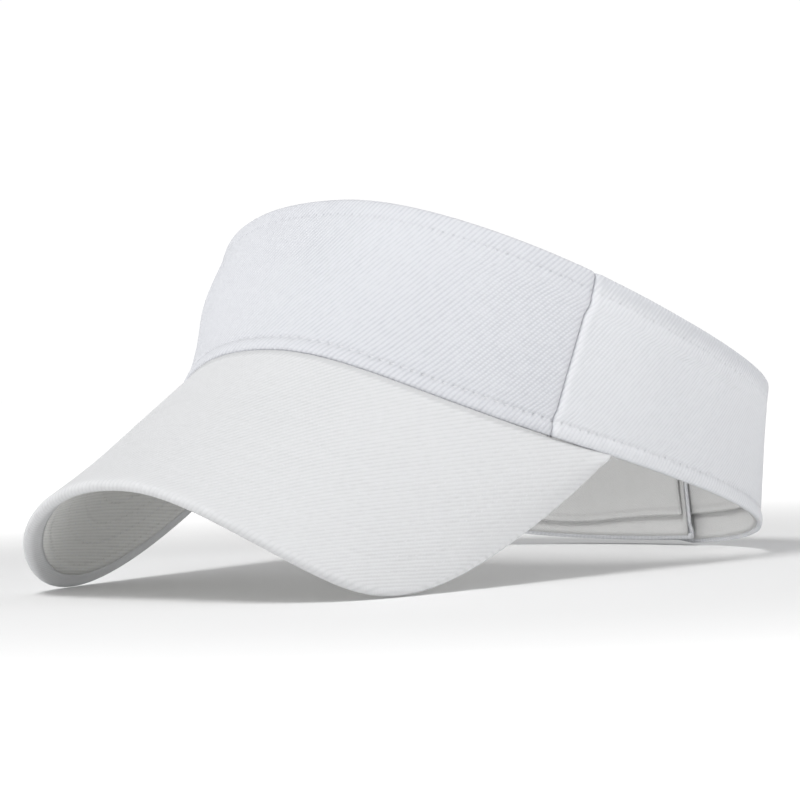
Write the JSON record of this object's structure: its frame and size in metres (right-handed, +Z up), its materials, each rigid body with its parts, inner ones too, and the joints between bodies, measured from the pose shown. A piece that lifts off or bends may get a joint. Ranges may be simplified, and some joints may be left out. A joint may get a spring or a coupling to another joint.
{
  "type": "sun visor",
  "caption": "Open-crown cloth sun visor with a stiff curved brim, a forehead panel, wrap-round side panels and a peel-open closure at the nape.",
  "frame": {"origin": "centre of the footprint on the table, with the visor resting on its two brim lobes and the back of its band", "axes": "+Z up, -Y the way the brim points, +X the wearer's left"},
  "size_m": [0.1664, 0.2464, 0.1127],
  "materials": {
    "front_twill": "coarse diagonal cotton twill, matte",
    "side_twill": "fine steep cotton twill, matte",
    "brim_twill": "cotton twill with concentric stitching, matte",
    "buckram": "stiff open weave, matte",
    "lining": "plain cotton, matte",
    "tape": "cotton tape, matte",
    "sweatband": "soft plain cotton, matte",
    "board": "smooth, matte",
    "hook": "nylon hook tape",
    "loop": "nylon loop tape"
  },
  "bodies": {
    "visor": {"front_panel": "front_twill", "front_buckram": "buckram", "side_panel_left": "side_twill", "side_panel_right": "side_twill", "side_lining_left": "lining", "side_lining_right": "lining", "seam_tape_left": "tape", "seam_tape_right": "tape", "sweatband": "sweatband", "brim_top_cover": "brim_twill", "brim_board": "board", "brim_under_cover": "brim_twill", "loop_patch": "loop"},
    "closure": {"closure_tab": "side_twill", "hook_patch": "hook"}
  },
  "joints": [
    {"name": "tab_peel", "type": "hinge", "parent": "visor", "child": "closure", "pos_m": [0.01743, 0.12166, 0.02143], "axis": [0.0536, 0.0132, -0.9985], "range_deg": [0, 120]}
  ]
}
